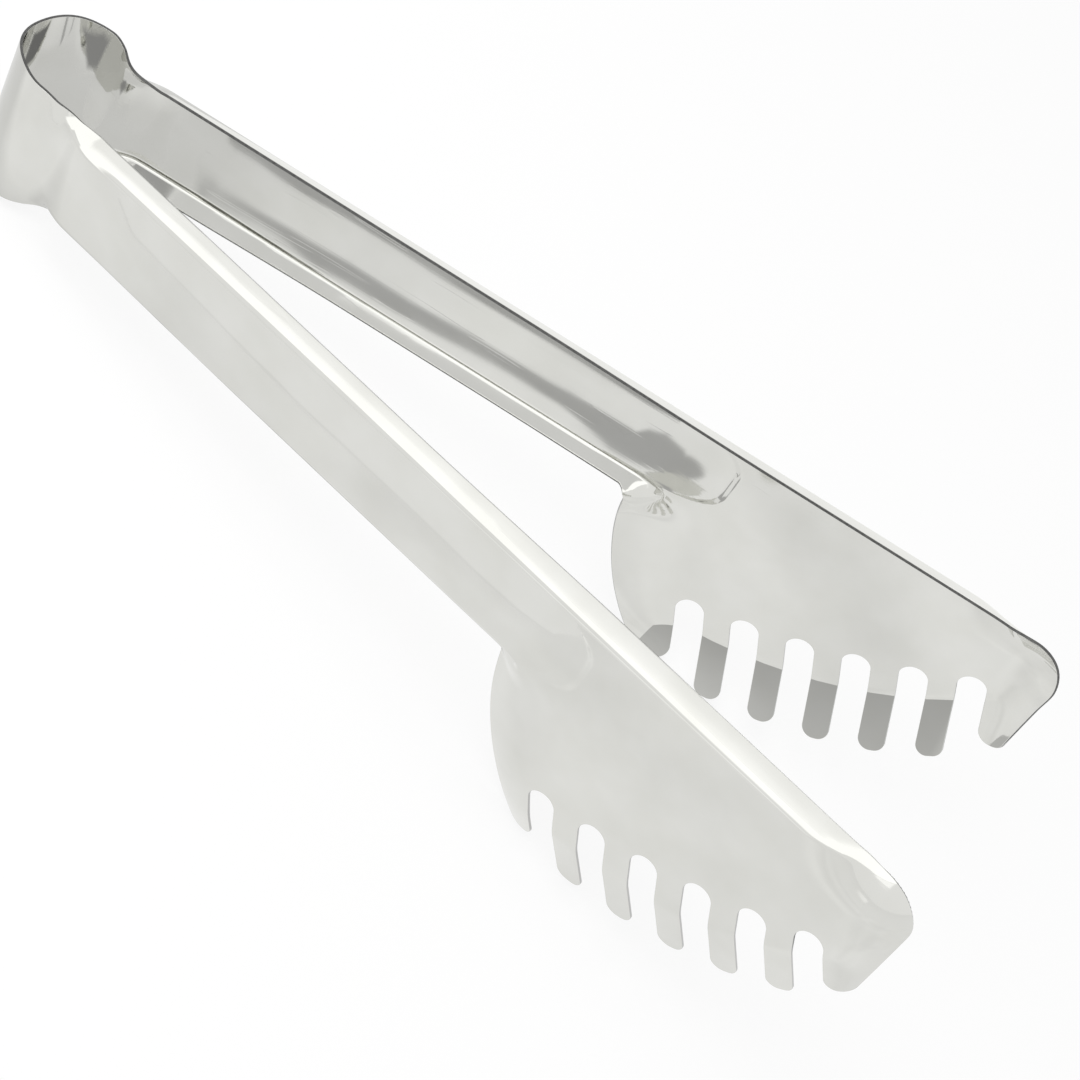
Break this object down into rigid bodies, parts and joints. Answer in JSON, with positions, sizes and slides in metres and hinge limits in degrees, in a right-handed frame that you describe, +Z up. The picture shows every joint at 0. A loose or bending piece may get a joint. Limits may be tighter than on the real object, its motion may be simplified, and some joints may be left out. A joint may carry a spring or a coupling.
{
  "type": "pasta tongs",
  "caption": "One-piece sprung pasta tongs with flanged channel arms and dished, slotted comb heads that close to lift long pasta.",
  "frame": {"origin": "middle of the tongs' footprint box, on the surface they stand on", "axes": "+X from the bow towards the comb heads, +Y from the near arm to the far arm, +Z up"},
  "size_m": [0.2302, 0.0792, 0.0746],
  "materials": {
    "polished_steel": "polished"
  },
  "bodies": {
    "bow": {"spring_bow": "polished_steel"},
    "near_side": {"near_arm": "polished_steel"},
    "far_side": {"far_arm": "polished_steel"}
  },
  "joints": [
    {"name": "near_arm_close", "type": "hinge", "parent": "bow", "child": "near_side", "pos_m": [-0.10076, -0.00723, 0.01716], "axis": [-0.214, 0, 0.9768], "range_deg": [0, 9.05], "stiffness_Nm_per_rad": 3},
    {"name": "far_arm_close", "type": "hinge", "parent": "bow", "child": "far_side", "pos_m": [-0.10076, 0.00723, 0.01716], "axis": [-0.214, 0, 0.9768], "range_deg": [-9.05, 0], "stiffness_Nm_per_rad": 3}
  ],
  "couplings": [
    {"joint": "far_arm_close", "follows": "near_arm_close", "ratio": -1}
  ]
}
